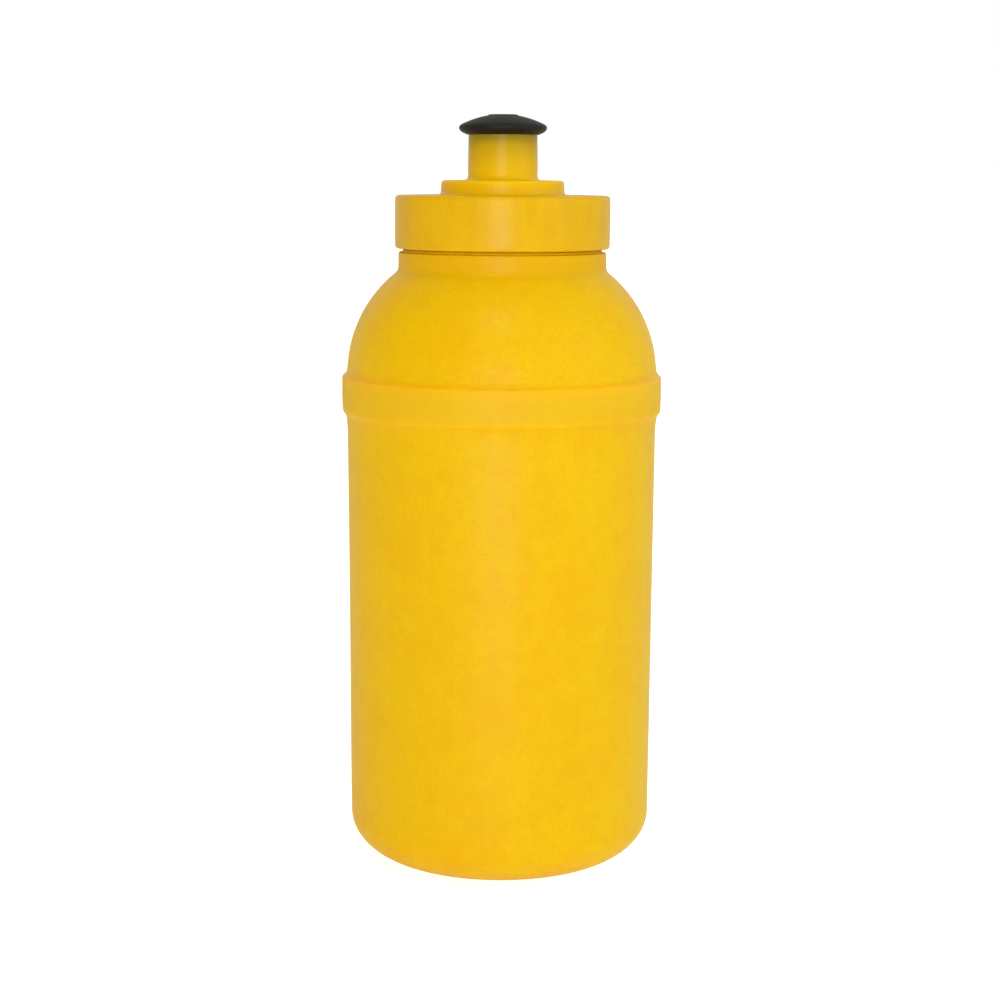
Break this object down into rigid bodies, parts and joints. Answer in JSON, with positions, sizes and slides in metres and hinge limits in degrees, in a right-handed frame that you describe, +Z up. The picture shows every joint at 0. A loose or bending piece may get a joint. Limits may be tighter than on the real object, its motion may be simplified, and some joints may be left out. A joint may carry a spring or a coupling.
{
  "type": "kids water bottle",
  "caption": "Squeeze water bottle for a child, with a domed shoulder, a grip band, a screw cap and a push-pull drinking spout.",
  "frame": {"origin": "middle of the base, on the plane that the bottle stands on", "axes": "+Z up along the bottle's axis, from the base to the drinking tip; the threads start at +X"},
  "size_m": [0.0752, 0.0752, 0.1764],
  "materials": {
    "yellow_body": "soft satin, fine orange-peel grain, blow-moulded polyethylene",
    "yellow_cap": "satin, injection-moulded polyethylene",
    "black_tip": "matte, soft polyethylene",
    "seal_foam": "matte, closed-cell foamed polyethylene"
  },
  "bodies": {
    "bottle": {"bottle_body": "yellow_body"},
    "seal": {"cap_seal_ring": "seal_foam"},
    "cap": {"screw_cap": "yellow_cap"},
    "tip": {"push_pull_tip": "black_tip"}
  },
  "joints": [
    {"name": "cap_lift", "type": "slide", "parent": "bottle", "child": "seal", "axis": [0, 0, 1], "range_m": [0, 0.0127]},
    {"name": "cap_turn", "type": "hinge", "parent": "seal", "child": "cap", "pos_m": [0, 0, 0.1545], "axis": [0, 0, 1], "range_deg": [0, 1080]},
    {"name": "tip_pull", "type": "slide", "parent": "cap", "child": "tip", "axis": [0, 0, 1], "range_m": [0, 0.006]}
  ],
  "couplings": [
    {"joint": "cap_lift", "follows": "cap_turn", "m_per_rad": 0.0006737}
  ]
}
